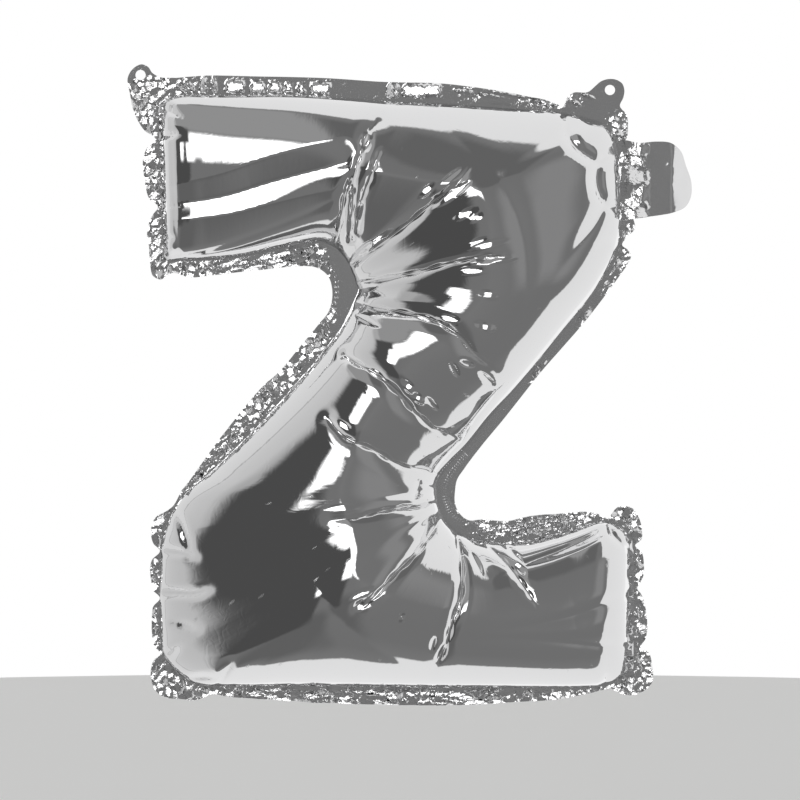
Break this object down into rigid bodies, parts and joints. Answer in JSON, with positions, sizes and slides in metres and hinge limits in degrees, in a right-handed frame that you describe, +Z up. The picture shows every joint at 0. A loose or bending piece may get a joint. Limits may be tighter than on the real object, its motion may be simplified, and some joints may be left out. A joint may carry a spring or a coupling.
{
  "type": "letter foil balloon",
  "caption": "Air-filled mirror-foil balloon in the shape of a capital letter, with a welded border, punched hang ears and a flat filler neck that folds.",
  "frame": {"origin": "midway between the centres of the two hang ears' holes, in the seam plane", "axes": "+Z up the letter, -Y out of its front, +X to the reader's right"},
  "size_m": [0.3173, 0.0952, 0.3606],
  "materials": {
    "panel_foil": "mirror-bright silver film, stretched tight by the air inside",
    "border_foil": "the same silver film, welded flat and finely crumpled",
    "neck_foil": "the same silver film, slack and softly creased"
  },
  "bodies": {
    "envelope": {"front_panel": "panel_foil", "back_panel": "panel_foil", "seam_border": "border_foil", "hang_tab_left": "border_foil", "hang_tab_right": "border_foil", "neck_root": "neck_foil"},
    "neck": {"neck_front": "neck_foil", "neck_back": "neck_foil"}
  },
  "joints": [
    {"name": "neck_fold", "type": "hinge", "parent": "envelope", "child": "neck", "pos_m": [0.1526, 0, -0.0545], "axis": [0, 0, 1], "range_deg": [-110, 110]}
  ]
}
